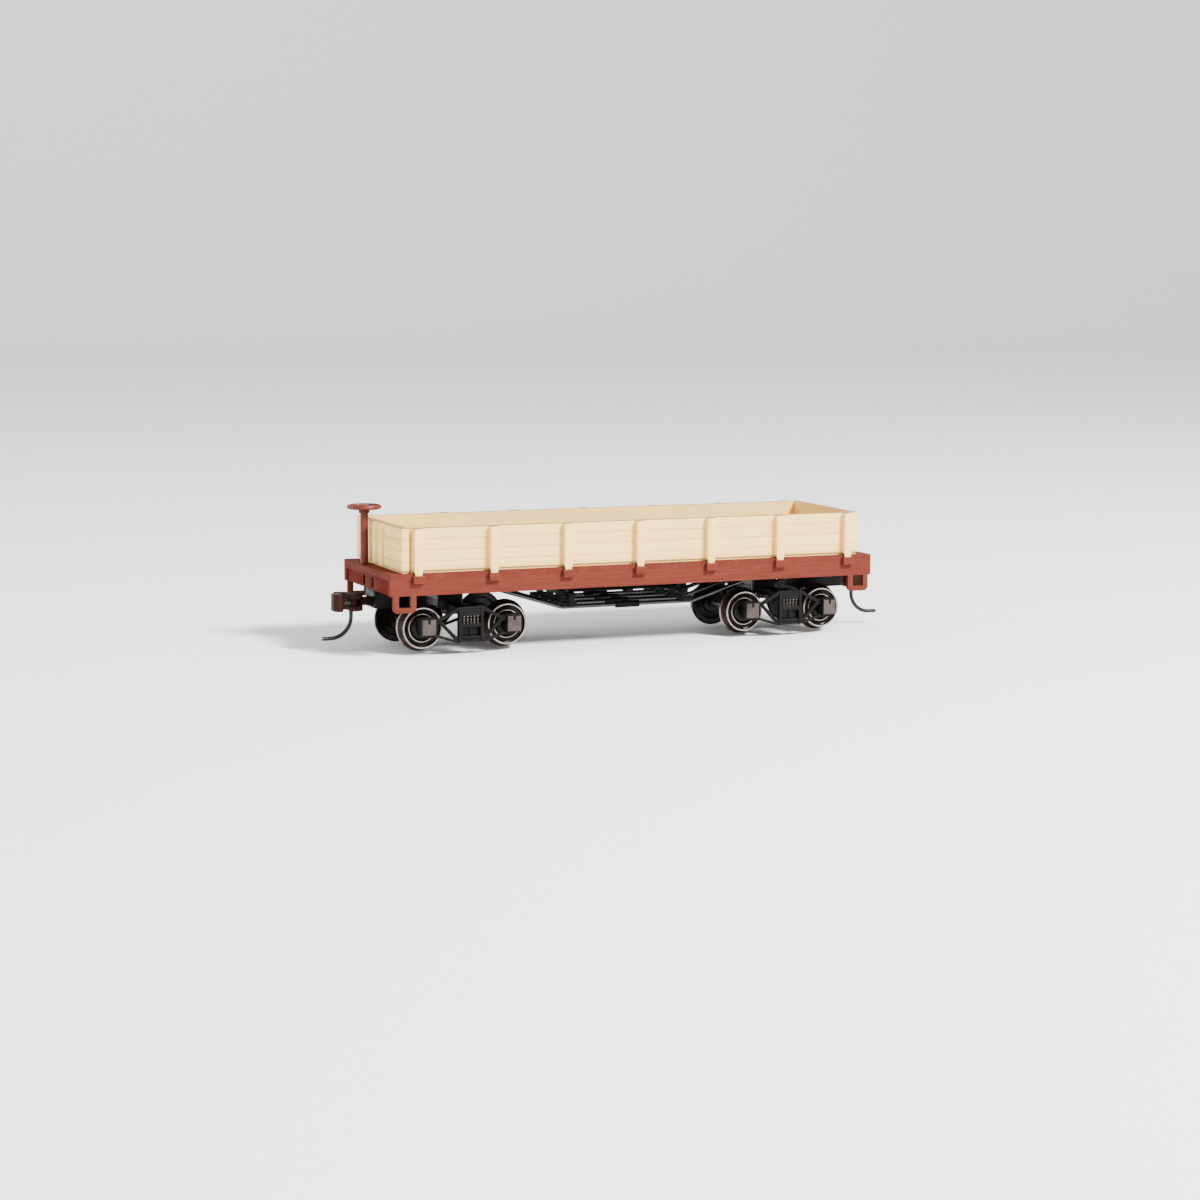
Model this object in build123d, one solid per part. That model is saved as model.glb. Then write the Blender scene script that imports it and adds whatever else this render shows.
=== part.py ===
from build123d import *
import math
import os

# HO (1:87) low-sided stake gondola on a wooden flat-car frame, millimetres.
# +X runs along the car from the hand-brake end to the plain end, +Z is up.
# z = 0 is the lowest point of the wheel flanges, so the rail head is at z = rail_top.

# wheels and trucks
tread_radius = 4.8
flange_radius = 5.5
wheel_width = 2.8
back_to_back = 14.5
axle_radius = 0.8
axle_tip_y = 13.0
bush_radius = 1.2
wheelbase = 20.3
truck_centre = 40.15
running_gap = 0.06
close_gap = 0.02
rail_top = flange_radius - tread_radius
axle_z = flange_radius


def above_rail(height):
    return rail_top + height


# body heights
sill_bottom = above_rail(13.0)
deck_top = above_rail(17.9)
wall_top = above_rail(27.9)
deck_thickness = 1.4
deck_under = deck_top - deck_thickness
weight_thickness = 1.5
floor_thickness = 1.6
floor_top = deck_under - weight_thickness
floor_under = floor_top - floor_thickness

# frame in plan
car_length = 120.0
car_half_width = 16.5
sill_thickness = 1.6
end_sill_thickness = 2.6
seat_depth = 0.1
end_lip = 0.35
end_lip_bottom = deck_top - 2.0
recess_y = 2.95
deck_plank = 2.5
plank_groove = 0.26

# box of planks
box_half_length = 57.2
box_half_width = 15.55
side_thickness = 1.5
end_thickness = 1.9
corner_gap = 0.35
corner_gap_depth = 0.9
planks_high = 4
seam_depth = 0.32
seam_width = 0.5
foot_height = 0.5
foot_setback = 0.45
stake_count = 7
stake_pitch = 17.87
stake_width = 2.0
stake_depth = 1.5
tip_width = 1.65
tip_thickness = 0.5
end_stake_depth = 0.4
end_stake_y = 2.35

# stake pockets and corner steps
pocket_width = 2.8
pocket_depth = 1.1
pocket_top = above_rail(17.5)
pocket_height = 1.75
tip_bottom = above_rail(16.3)
step_centre = 56.7
step_width = 5.4
step_bottom = above_rail(9.25)
step_thickness = 1.0
step_hole = (2.7, 2.6)
step_chamfer = 0.7

# hand brake
staff_x = -58.65
staff_y = 5.8
staff_radius = 0.9
staff_collar_radius = 1.25
staff_bottom = above_rail(14.2)
brake_wheel_radius = 3.95
brake_wheel_z = above_rail(30.4)
brake_wheel_rim = 1.0

# screws through the floor and the coupler lids
screw_x = 22.0
screw_radius = 0.75
screw_head = (1.5, 0.8)
post_radius = 2.0
lid_screw_radius = 0.5
lid_screw_head = (1.0, 0.45)

# truss rods
rod_radius = 0.5
rod_rows = (-9.3, -3.1, 3.1, 9.3)
rod_low_z = above_rail(7.9)
rod_bend_x = 16.4
rod_anchor_x = 33.5
rod_gap = 1.4
queen_x = 14.2
turnbuckle_length = 5.8
crossbar_z = above_rail(10.6)

# couplers, in a local frame with u outwards from the car's middle and v to the left of it
coupler_z = above_rail(10.2)
pivot_u = 52.2
box_mouth_u = 59.2
box_inner_u = 47.4
box_half_width_outer = 3.2
cavity_half_width = 2.5
shank_half_width = 1.0
shank_height = 1.7
lid_thickness = 0.5
head_height = 3.9
head_back_u = 61.5
head_front_u = 64.6
knuckle_back_u = 66.2
knuckle_front_u = 68.35
knuckle_pivot = (63.75, 1.3)
knuckle_arm_height = 1.4
pin_radius = 0.4
trip_radius = 0.48
trip_u = 63.5
trip_end_u = 70.4
trip_low_z = above_rail(1.9)
trip_bend = 4.8

# truck frames
frame_y = (12.8, 13.9)
journal_face_y = 14.6
journal_back_y = 11.1
journal_size = (3.5, 3.85)
journal_bottom = above_rail(3.55)
bolster_half_width = 1.95
column_x = 2.6
arch_apex = (7.3, above_rail(6.7))
arch_bar = 0.75
kingpin_radius = 1.0


def box_between(low, high):
    size = [b - a for a, b in zip(low, high)]
    middle = [(a + b) / 2 for a, b in zip(low, high)]
    return Pos(*middle) * Box(*size)


def plate_xz(points, y_low, y_high):
    outline = Plane.XZ * make_face(Polyline(*points, close=True))
    return Pos(0, y_low, 0) * extrude(outline, amount=y_high - y_low, dir=(0, 1, 0))


def plate_yz(points, x_low, x_high):
    outline = Plane.YZ * make_face(Polyline(*points, close=True))
    return Pos(x_low, 0, 0) * extrude(outline, amount=x_high - x_low, dir=(1, 0, 0))


def upright(x, y, z_low, z_high, radius):
    return Pos(x, y, (z_low + z_high) / 2) * Cylinder(radius, z_high - z_low)


def crosswise(x, z, y_low, y_high, radius):
    return Pos(x, (y_low + y_high) / 2, z) * Rot(90, 0, 0) * Cylinder(radius, y_high - y_low)


def rod_between(start, end, radius):
    run = Vector(*end) - Vector(*start)
    section = Plane(origin=start, z_dir=run) * Circle(radius)
    return extrude(section, amount=run.length, dir=run)


def strut(start, end, height, depths):
    run = math.dist(start, end)
    turn = math.degrees(math.atan2(end[1] - start[1], end[0] - start[0]))
    middle = ((start[0] + end[0]) / 2, sum(depths) / 2, (start[1] + end[1]) / 2)
    return Pos(*middle) * Rot(0, -turn, 0) * Box(run + height * 0.6, depths[1] - depths[0], height)


def both_ends(shape):
    return shape + Rot(0, 0, 180) * shape


def write(name, shape):
    export_step(shape, f"parts/{name}.step")


# ---------------------------------------------------------------- car body

def stake_places():
    first = -(stake_count - 1) / 2 * stake_pitch
    return [first + i * stake_pitch for i in range(stake_count)]


def deck():
    half = car_length / 2
    count = round(car_length / deck_plank)
    points = [(half, deck_top), (half, deck_under), (-half, deck_under), (-half, deck_top)]
    for i in range(1, count):
        x = -half + i * deck_plank
        points += [(x - plank_groove / 2, deck_top), (x, deck_top - plank_groove),
                   (x + plank_groove / 2, deck_top)]
    return plate_xz(points, -car_half_width, car_half_width)


def stake_pocket(x):
    outer = box_between(
        (x - pocket_width / 2, -car_half_width - pocket_depth, pocket_top - pocket_height),
        (x + pocket_width / 2, -car_half_width, pocket_top))
    slot = box_between(
        (x - tip_width / 2 - close_gap, -car_half_width - tip_thickness - 0.1, tip_bottom - close_gap),
        (x + tip_width / 2 + close_gap, -car_half_width, pocket_top))
    return outer - slot


def corner_step():
    left, right = step_centre - step_width / 2, step_centre + step_width / 2
    low, cut = step_bottom, step_chamfer
    hoop = plate_xz(
        [(left, sill_bottom), (left, low + cut), (left + cut, low), (right - cut, low),
         (right, low + cut), (right, sill_bottom)], -car_half_width, step_thickness - car_half_width)
    hole = box_between(
        (step_centre - step_hole[0] / 2, -car_half_width, sill_bottom - step_hole[1]),
        (step_centre + step_hole[0] / 2, step_thickness - car_half_width, sill_bottom))
    return hoop - hole


def wall_seat():
    """Shallow groove in the deck that the four walls stand in."""
    def slab(reach_x, reach_y):
        return box_between((-reach_x, -reach_y, deck_top - seat_depth), (reach_x, reach_y, deck_top))

    outer = slab(box_half_length - foot_setback + close_gap, box_half_width - foot_setback + close_gap)
    return outer - slab(box_half_length - end_thickness - close_gap,
                        box_half_width - side_thickness - close_gap)


def frame_deck():
    half = car_length / 2
    body = deck()
    body += box_between((-half, -car_half_width, sill_bottom),
                        (half, sill_thickness - car_half_width, deck_under))
    body += box_between((-half, car_half_width - sill_thickness, sill_bottom),
                        (half, car_half_width, deck_under))
    end = box_between((half - end_sill_thickness, -car_half_width, sill_bottom),
                      (half, car_half_width, deck_under))
    end -= box_between((half - end_lip, -car_half_width, sill_bottom),
                       (half, car_half_width, end_lip_bottom))
    for y in (-recess_y, recess_y):
        end -= box_between((half - end_lip - 0.5, y - 0.7, above_rail(13.6)),
                           (half, y + 0.7, end_lip_bottom))
    body += both_ends(end)
    for x in stake_places():
        body += both_ends(stake_pocket(x))
    step = corner_step()
    body += both_ends(step) + both_ends(mirror(step, about=Plane.YZ))
    for x in (-screw_x, screw_x):
        body += upright(x, 0, floor_top, deck_under, post_radius)
        body -= upright(x, 0, floor_top, deck_under, screw_radius)
    body -= upright(staff_x, staff_y, staff_bottom, deck_top, staff_radius + running_gap)
    body -= wall_seat()
    joint_x = half - 2.1
    groove = box_between((joint_x - 0.1, -car_half_width, above_rail(15.2)),
                         (joint_x + 0.1, 0.2 - car_half_width, deck_top))
    body -= both_ends(groove) + both_ends(mirror(groove, about=Plane.YZ))
    return body


def plank_wall(outer, inner, bottom, top):
    """Section of a wall in its own plane: (distance from the middle, height) pairs."""
    step = (top - bottom) / planks_high
    foot = outer - foot_setback
    points = [(inner, bottom - seat_depth), (foot, bottom - seat_depth), (foot, bottom + foot_height),
              (outer, bottom + foot_height)]
    for i in range(1, planks_high):
        z = bottom + i * step
        points += [(outer, z - seam_width / 2), (outer - seam_depth, z), (outer, z + seam_width / 2)]
    points += [(outer, top), (inner, top)]
    return points


def side_panel():
    reach = box_half_length - end_thickness - close_gap
    section = plank_wall(box_half_width, box_half_width - side_thickness, deck_top, wall_top)
    wall = plate_yz([(-d, z) for d, z in section], -reach, reach)
    joint = box_between((reach - corner_gap, -box_half_width, deck_top - seat_depth),
                        (reach, corner_gap_depth - box_half_width, wall_top))
    wall -= joint + mirror(joint, about=Plane.YZ)
    front = -box_half_width - stake_depth
    for x in stake_places():
        wall += box_between((x - stake_width / 2, front, deck_top + foot_height),
                            (x + stake_width / 2, -box_half_width + seam_depth, wall_top))
        wall += box_between((x - tip_width / 2, front, tip_bottom),
                            (x + tip_width / 2, front + tip_thickness, deck_top + foot_height))
    return wall


def end_panel():
    section = plank_wall(box_half_length, box_half_length - end_thickness, deck_top, wall_top)
    wall = plate_xz(section, -box_half_width, box_half_width)
    wall -= end_grain_notches()
    corner = box_between((0, box_half_width - foot_setback, deck_top - seat_depth),
                         (box_half_length, box_half_width, deck_top + foot_height))
    wall -= corner + mirror(corner, about=Plane.XZ)
    for y in (-end_stake_y, end_stake_y):
        wall += box_between((box_half_length - seam_depth, y - stake_width / 2, deck_top + foot_height),
                            (box_half_length + end_stake_depth, y + stake_width / 2, wall_top))
    return wall


def end_grain_notches():
    """V cuts on the plank ends, where the seams run round the corner."""
    cuts = None
    low = box_half_length - end_thickness
    for i in range(1, planks_high):
        z = deck_top + i * (wall_top - deck_top) / planks_high
        for side in (-1, 1):
            edge = side * box_half_width
            points = [(edge, z - seam_width / 2), (edge - side * seam_depth, z), (edge, z + seam_width / 2)]
            cut = plate_yz(points, low, box_half_length)
            cuts = cut if cuts is None else cuts + cut
    return cuts


def ballast_weight():
    plate = box_between((-46, -13.5, floor_top), (46, 13.5, deck_under))
    for x in (-screw_x, screw_x):
        plate -= upright(x, 0, floor_top, deck_under, post_radius + 0.3)
    return plate


def draft_box():
    roof = coupler_z + shank_height / 2 + 0.1
    low = coupler_z - shank_height / 2 - 0.1
    shell = box_between((box_inner_u, -box_half_width_outer, low),
                        (box_mouth_u, box_half_width_outer, sill_bottom - 0.1))
    shell += box_between((box_inner_u, -box_half_width_outer, sill_bottom - 0.1),
                         (56.0, box_half_width_outer, floor_under))
    shell -= box_between((box_inner_u + 0.8, -cavity_half_width, low),
                         (box_mouth_u, cavity_half_width, roof))
    shell += upright(pivot_u, 0, low, roof, 1.0)
    shell -= upright(pivot_u, 0, low, roof, lid_screw_radius)
    return shell


def underframe():
    body = box_between((-56.8, -14.7, floor_under), (56.8, 14.7, floor_top))
    for x in (-truck_centre, truck_centre):
        body += upright(x, 0, above_rail(11.6), floor_under, 3.0)
        body -= upright(x, 0, above_rail(11.6), floor_top, kingpin_radius - 0.1)
    body += box_between((-36.5, -1.6, above_rail(12.3)), (36.5, 1.6, floor_under))
    body += both_ends(draft_box())
    for y in rod_rows:
        body += both_ends(box_between((31.4, y - 1.0, above_rail(12.3)), (34.4, y + 1.0, floor_under)))
    for x in (-screw_x, screw_x):
        body -= upright(x, 0, above_rail(12.3), floor_top, screw_radius + close_gap)
        body -= upright(x, 0, above_rail(12.3), above_rail(12.3) + screw_head[1], screw_head[0] + close_gap)
    for y in rod_rows:
        body -= rod_half(y, 1, rod_radius + close_gap) + rod_half(y, -1, rod_radius + close_gap)
    return body


def rod_half(y, side, radius):
    inner, bend, anchor = rod_gap * side, rod_bend_x * side, rod_anchor_x * side
    level = rod_between((inner, y, rod_low_z), (bend, y, rod_low_z), radius)
    slope = rod_between((bend, y, rod_low_z), (anchor, y, floor_under - 0.3), radius)
    return level + slope + Pos(bend, y, rod_low_z) * Sphere(radius)


def truss_rod(y):
    return Compound(children=[rod_half(y, -1, rod_radius), rod_half(y, 1, rod_radius)])


def turnbuckle(y):
    half = turnbuckle_length / 2
    body = box_between((-half, y - 0.75, rod_low_z - 0.75), (half, y + 0.75, rod_low_z + 0.75))
    body = chamfer(body.edges().filter_by(Axis.X), 0.3)
    body -= box_between((-half + 1.5, y - 0.42, rod_low_z - 1), (half - 1.5, y + 0.42, rod_low_z + 1))
    return body - rod_between((-half, y, rod_low_z), (half, y, rod_low_z), rod_radius + close_gap)


def turnbuckles():
    return Compound(children=[turnbuckle(y) for y in rod_rows])


def needle_beam(side):
    x = side * queen_x
    beam = box_between((x - 0.8, -10.6, crossbar_z - 0.55), (x + 0.8, 10.6, crossbar_z + 0.55))
    foot_in, foot_out = x - side * 1.4, x + side * 2.4
    for y in rod_rows:
        beam += box_between((x - 0.65, y - 0.75, rod_low_z), (x + 0.65, y + 0.75, floor_under))
        beam += box_between((min(foot_in, foot_out), y - 0.6, rod_low_z),
                            (max(foot_in, foot_out), y + 0.6, rod_low_z + 1.2))
        beam -= rod_half(y, side, rod_radius + close_gap)
        beam -= box_between((x - 4, y - 1, rod_low_z - 1), (x + 4, y + 1, rod_low_z))
    beam -= box_between((x - 1, -1.65, above_rail(12.28)), (x + 1, 1.65, floor_under))
    return beam


def brake_rigging():
    reach = queen_x - 0.8 - close_gap
    z = crossbar_z - 0.05
    rig = box_between((1.6, -5.2, z - 0.35), (3.4, 5.2, z + 0.35))
    for y in (-4.3, 4.3):
        rig += crosswise(2.5, z, y - 0.3, y + 0.3, 0.8)
    for y in (-1.9, 1.9):
        rig += rod_between((-reach, y, z), (reach, y, z), 0.4)
    return rig


def underframe_screws():
    screws = []
    for x in (-screw_x, screw_x):
        head_low = above_rail(12.3)
        screw = upright(x, 0, head_low, deck_under - 0.1, screw_radius - close_gap)
        screw += upright(x, 0, head_low, head_low + screw_head[1] - close_gap, screw_head[0])
        screw -= box_between((x - 1.2, -0.15, head_low), (x + 1.2, 0.15, head_low + 0.35))
        screws.append(screw)
    return Compound(children=screws)


def brake_staff():
    under_wheel = brake_wheel_z
    staff = upright(staff_x, staff_y, staff_bottom + 0.1, under_wheel + brake_wheel_rim, staff_radius)
    staff += upright(staff_x, staff_y, under_wheel - 0.9, under_wheel, staff_collar_radius)
    return staff


def brake_wheel():
    outer, rim, low = brake_wheel_radius, 0.95, brake_wheel_z
    outline = [(staff_radius + close_gap, low), (1.5, low), (outer - rim, low + 0.05), (outer - 0.3, low),
               (outer, low + 0.3), (outer, low + 0.7), (outer - 0.3, low + brake_wheel_rim),
               (outer - rim + 0.25, low + brake_wheel_rim), (outer - rim, low + 0.55), (1.6, low + 0.5),
               (1.4, low + 1.05), (staff_radius + close_gap, low + 1.05)]
    dish = revolve(Plane.XZ * make_face(Polyline(*outline, close=True)), Axis.Z)
    return Pos(staff_x, staff_y, 0) * dish


# ---------------------------------------------------------------- couplers

def coupler_head():
    z, half = coupler_z, head_height / 2
    shank = box_between((pivot_u, -shank_half_width, z - shank_height / 2),
                        (head_back_u, shank_half_width, z + shank_height / 2))
    shank += upright(pivot_u, 0, z - shank_height / 2, z + shank_height / 2, 2.0)
    outline = [(head_back_u, -1.6), (head_back_u + 0.9, -2.4), (head_front_u - 0.4, -2.4), (66.6, -3.3),
               (67.1, -2.7), (64.9, -1.2), (head_front_u, -0.2), (head_front_u, 2.6),
               (head_back_u + 0.9, 2.6),
               (head_back_u, 1.6)]
    block = extrude(Pos(0, 0, z - half) * make_face(Polyline(*outline, close=True)), amount=2 * half)
    head = shank + block
    px, py = knuckle_pivot
    slot_half = knuckle_arm_height / 2 + 0.1
    head -= box_between((px - 1.5, py - 1.15, z - slot_half), (head_front_u, 2.6, z + slot_half))
    head -= upright(px, py, z - half, z + half, pin_radius)
    head -= upright(pivot_u, 0, z - 2, z + 2, 1.0 + running_gap)
    return head - upright(trip_u, -0.9, z - half, z, trip_radius)


def knuckle():
    z, half = coupler_z, head_height / 2
    outline = [(knuckle_back_u, -0.6), (knuckle_back_u, 2.2), (knuckle_back_u + 0.5, 2.7),
               (knuckle_front_u - 0.9, 2.7),
               (knuckle_front_u, 1.7), (knuckle_front_u, -0.5), (knuckle_front_u - 0.5, -1.0),
               (knuckle_back_u + 0.4, -1.0)]
    nose = extrude(Pos(0, 0, z - half) * make_face(Polyline(*outline, close=True)), amount=2 * half)
    px, py = knuckle_pivot
    arm_half = knuckle_arm_height / 2
    arm = box_between((px, py - 0.6, z - arm_half), (knuckle_back_u + 0.3, py + 0.45, z + arm_half))
    arm += upright(px, py, z - arm_half, z + arm_half, 0.95)
    return nose + arm - upright(px, py, z - arm_half, z + arm_half, pin_radius + running_gap)


def knuckle_pin():
    px, py = knuckle_pivot
    half = head_height / 2
    return upright(px, py, coupler_z - half, coupler_z + half, pin_radius - 0.01)


def spring_coil(radius, wire, length, turns):
    path = Helix(pitch=length / turns, height=length, radius=radius)
    return sweep(Plane(origin=path @ 0, z_dir=path % 0) * Circle(wire), path=path)


def knuckle_spring():
    length = knuckle_back_u - head_front_u - 0.3
    coil = spring_coil(0.32, 0.09, length, 5)
    return Pos(head_front_u + 0.15, 2.2, coupler_z) * Rot(0, 90, 0) * coil


def trip_pin():
    corner_z = trip_low_z + trip_bend
    start = (trip_u, -0.9, coupler_z)
    down = (trip_u, -0.9, corner_z)
    middle = trip_bend * (1 - math.cos(math.radians(45)))
    through = (trip_u + middle, -0.9, trip_low_z + middle)
    low = (trip_u + trip_bend, -0.9, trip_low_z)
    path = Line(start, down) + ThreePointArc(down, through, low) + Line(low, (trip_end_u, -0.9, trip_low_z))
    return sweep(Plane(origin=start, z_dir=(0, 0, -1)) * Circle(trip_radius - 0.01), path=path)


def centring_spring():
    z, tall, thin = coupler_z, 1.3, 0.2
    spring = None
    for side in (-1, 1):
        arm = box_between((49.6, side * 2.3 - thin / 2, z - tall / 2),
                          (57.8, side * 2.3 + thin / 2, z + tall / 2))
        spring = arm if spring is None else spring + arm
    return spring + box_between((49.5, -2.4, z - tall / 2), (49.7, 2.4, z + tall / 2))


def coupler_box_lid():
    top = coupler_z - shank_height / 2 - 0.1
    lid = box_between((box_inner_u, -box_half_width_outer, top - lid_thickness),
                      (box_mouth_u, box_half_width_outer, top))
    return lid - upright(pivot_u, 0, top - lid_thickness, top, lid_screw_radius + close_gap)


def lid_screw():
    top = coupler_z + 0.6
    lid_low = coupler_z - shank_height / 2 - 0.1 - lid_thickness
    radius, height = lid_screw_head
    screw = upright(pivot_u, 0, lid_low - height, lid_low, radius)
    screw += upright(pivot_u, 0, lid_low, top, lid_screw_radius - 0.01)
    return screw - box_between((pivot_u - 1, -0.12, lid_low - height),
                               (pivot_u + 1, 0.12, lid_low - height + 0.2))


# ---------------------------------------------------------------- trucks, built about x = 0

def truck_bolster():
    low, high = above_rail(7.6), above_rail(9.2)
    beam = box_between((-bolster_half_width, -12.75, low), (bolster_half_width, 12.75, high))
    beam += upright(0, 0, low, above_rail(11.5), 3.0)
    beam -= upright(0, 0, low, above_rail(11.5), kingpin_radius + 0.08)
    return beam


def kingpin_screw():
    low = above_rail(7.4)
    screw = upright(0, 0, low, floor_top - 0.2, kingpin_radius - 0.12)
    screw += upright(0, 0, low, above_rail(11.58), kingpin_radius)
    screw += upright(0, 0, low - 1.0, low, 1.9)
    return screw - box_between((-2, -0.2, low - 1.0), (2, 0.2, low - 0.6))


def side_frame():
    low, top, depths = journal_bottom, journal_bottom + journal_size[1], frame_y
    half_base = wheelbase / 2
    frame = None

    def add(shape):
        nonlocal frame
        frame = shape if frame is None else frame + shape

    knee_top, knee_low = (2.9, above_rail(9.25)), (3.6, above_rail(2.7))
    apex, edge, bar = arch_apex, half_base - journal_size[0] / 2, arch_bar
    for side in (-1, 1):
        add(box_between((side * half_base - journal_size[0] / 2, journal_back_y, low),
                        (side * half_base + journal_size[0] / 2, journal_face_y, top)))
        add(strut((side * (edge + 0.4), apex[1]), (side * apex[0], apex[1]), 1.1, depths))
        add(strut((side * apex[0], apex[1] + 0.2), (side * knee_top[0], knee_top[1]), bar, depths))
        add(strut((side * apex[0], apex[1] - 0.2), (side * knee_low[0], knee_low[1]), bar, depths))
        add(strut((side * (half_base + 0.6), low - 0.25), (side * (edge - 0.6), low - 0.25), 0.6, depths))
        add(strut((side * (edge - 0.6), low - 0.25), (side * knee_low[0], above_rail(1.95)), 0.6, depths))
        add(box_between((side * column_x - 0.42, depths[0], above_rail(1.7)),
                        (side * column_x + 0.42, depths[1] + 0.15, above_rail(9.5))))
    add(strut((-knee_top[0], knee_top[1]), (knee_top[0], knee_top[1]), bar, depths))
    add(strut((-knee_low[0], knee_low[1]), (knee_low[0], knee_low[1]), bar, depths))
    add(strut((-knee_low[0], above_rail(1.95)), (knee_low[0], above_rail(1.95)), 0.6, depths))
    add(box_between((-column_x, depths[0], above_rail(7.6)), (column_x, depths[1], above_rail(9.0))))
    add(box_between((-column_x, depths[0], above_rail(5.1)), (column_x, depths[1] + 0.1, above_rail(5.9))))
    for i in range(5):
        x = (i - 2) * 0.82
        add(upright(x, depths[1] - 0.35, above_rail(5.9), above_rail(7.6), 0.36))
    add(box_between((-column_x, depths[0], above_rail(2.0)), (column_x, depths[0] + 0.35, above_rail(7.6))))
    add(box_between((-0.2, depths[0], above_rail(2.0)), (0.2, depths[1] - 0.4, above_rail(5.1))))
    for side in (-1, 1):
        frame -= journal_bore(side * half_base)
    return frame


def journal_bore(x):
    return axle_end(x, axle_radius + running_gap, journal_back_y - 0.1, running_gap)


def axle_end(x, radius, start_y, extra):
    """Cylinder from start_y that runs out to the pointed end at +Y."""
    shoulder = 11.9
    shank = crosswise(x, axle_z, start_y, shoulder, radius)
    length = axle_tip_y + extra - shoulder
    cone = Pos(x, shoulder + length / 2, axle_z) * Rot(-90, 0, 0) * Cone(radius, 0.12 + extra, length)
    return shank + cone


def axle(x):
    middle = crosswise(x, axle_z, -11.0, 11.0, axle_radius)
    tip = axle_end(x, axle_radius, 10.9, 0)
    return middle + tip + Pos(2 * x, 0, 0) * Rot(0, 0, 180) * tip


def wheel(x, side):
    bore = bush_radius + 0.01
    width, tread = wheel_width, tread_radius
    outline = [(bore, 0), (2.3, 0), (2.6, 0.5), (3.8, 0.5), (4.1, 0), (5.1, 0), (flange_radius - 0.08, 0.2),
               (flange_radius, 0.45), (flange_radius - 0.1, 0.7), (tread + 0.12, 0.95), (tread, 1.2),
               (tread - 0.08, width - 0.15), (tread - 0.2, width), (4.3, width), (4.15, width - 0.6),
               (3.4, width - 0.65), (3.3, width - 0.2), (3.0, width - 0.2), (2.85, width - 0.85),
               (2.6, width - 0.55), (2.2, width - 0.25), (1.7, width - 0.08), (bore, width)]
    profile = make_face(Polyline(*[(r, y) for r, y in outline], close=True))
    disc = revolve(profile, Axis.Y)
    placed = Pos(0, back_to_back / 2, 0) * disc
    if side < 0:
        placed = Rot(180, 0, 0) * placed
    return Pos(x, 0, axle_z) * placed


def insulating_bushes(x):
    bushes = []
    for side in (-1, 1):
        low, high = back_to_back / 2, back_to_back / 2 + wheel_width
        y_low, y_high = min(side * low, side * high), max(side * low, side * high)
        bush = crosswise(x, axle_z, y_low, y_high, bush_radius)
        bushes.append(bush - crosswise(x, axle_z, y_low, y_high, axle_radius + 0.01))
    return Compound(children=bushes)


# ---------------------------------------------------------------- files

def write_body():
    write("frame_deck", frame_deck())
    near = side_panel()
    write("right_side_panel", near)
    write("left_side_panel", Rot(0, 0, 180) * near)
    plain = end_panel()
    write("plain_end_panel", plain)
    write("brake_end_panel", Rot(0, 0, 180) * plain)
    write("ballast_weight", ballast_weight())
    write("underframe", underframe())
    write("underframe_screws", underframe_screws())
    for i, y in enumerate(rod_rows, 1):
        write(f"truss_rod_{i}", truss_rod(y))
    write("turnbuckles", turnbuckles())
    write("needle_beam_a", needle_beam(-1))
    write("needle_beam_b", needle_beam(1))
    write("brake_rigging", brake_rigging())
    write("brake_staff", brake_staff())
    write("brake_wheel", brake_wheel())


def write_couplers():
    pieces = {"coupler_head": coupler_head(), "knuckle": knuckle(), "knuckle_pin": knuckle_pin(),
              "knuckle_spring": knuckle_spring(), "trip_pin": trip_pin(),
              "centring_spring": centring_spring(),
              "coupler_box_lid": coupler_box_lid(), "lid_screw": lid_screw()}
    for end, turn in (("a", 180), ("b", 0)):
        for name, shape in pieces.items():
            write(f"{name}_{end}", Rot(0, 0, turn) * shape)


def write_trucks():
    frame = side_frame()
    bolster, pin = truck_bolster(), kingpin_screw()
    number = 1
    for end, centre in (("a", -truck_centre), ("b", truck_centre)):
        place = Pos(centre, 0, 0)
        write(f"truck_bolster_{end}", place * bolster)
        write(f"kingpin_screw_{end}", place * pin)
        write(f"left_side_frame_{end}", place * frame)
        write(f"right_side_frame_{end}", place * Rot(0, 0, 180) * frame)
        for x in (centre - wheelbase / 2, centre + wheelbase / 2):
            write(f"axle_{number}", axle(x))
            write(f"left_wheel_{number}", wheel(x, 1))
            write(f"right_wheel_{number}", wheel(x, -1))
            write(f"insulating_bushes_{number}", insulating_bushes(x))
            number += 1


os.makedirs("parts", exist_ok=True)
write_body()
write_couplers()
write_trucks()
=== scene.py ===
import math

import bmesh
import bpy
from mathutils import Matrix, Vector


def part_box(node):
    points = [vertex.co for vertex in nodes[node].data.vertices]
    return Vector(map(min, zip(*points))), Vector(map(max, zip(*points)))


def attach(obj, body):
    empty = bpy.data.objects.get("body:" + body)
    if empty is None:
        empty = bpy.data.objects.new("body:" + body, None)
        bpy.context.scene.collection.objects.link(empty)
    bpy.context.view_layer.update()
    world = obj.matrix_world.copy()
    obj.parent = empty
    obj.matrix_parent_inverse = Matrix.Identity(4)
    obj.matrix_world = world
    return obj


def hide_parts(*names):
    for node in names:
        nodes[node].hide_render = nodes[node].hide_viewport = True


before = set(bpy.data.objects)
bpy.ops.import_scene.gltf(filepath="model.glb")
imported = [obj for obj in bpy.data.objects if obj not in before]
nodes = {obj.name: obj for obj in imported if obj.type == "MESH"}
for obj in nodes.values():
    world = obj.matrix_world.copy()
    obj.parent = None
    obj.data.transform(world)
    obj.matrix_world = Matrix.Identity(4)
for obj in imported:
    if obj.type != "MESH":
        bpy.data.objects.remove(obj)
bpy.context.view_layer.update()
mm = 0.001
perMetre = 1000
smoothLimit = math.radians(32)
bevelLimit = 0.5  # radians, flatter folds keep their edge
print("frame loaded:", len(nodes), "nodes")


# small mesh helpers, all in millimetres

def addObject(name, mesh):
    mesh.shade_smooth()
    mesh.set_sharp_from_angle(angle=smoothLimit)
    thing = bpy.data.objects.new(name, mesh)
    bpy.context.scene.collection.objects.link(thing)
    return thing


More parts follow.
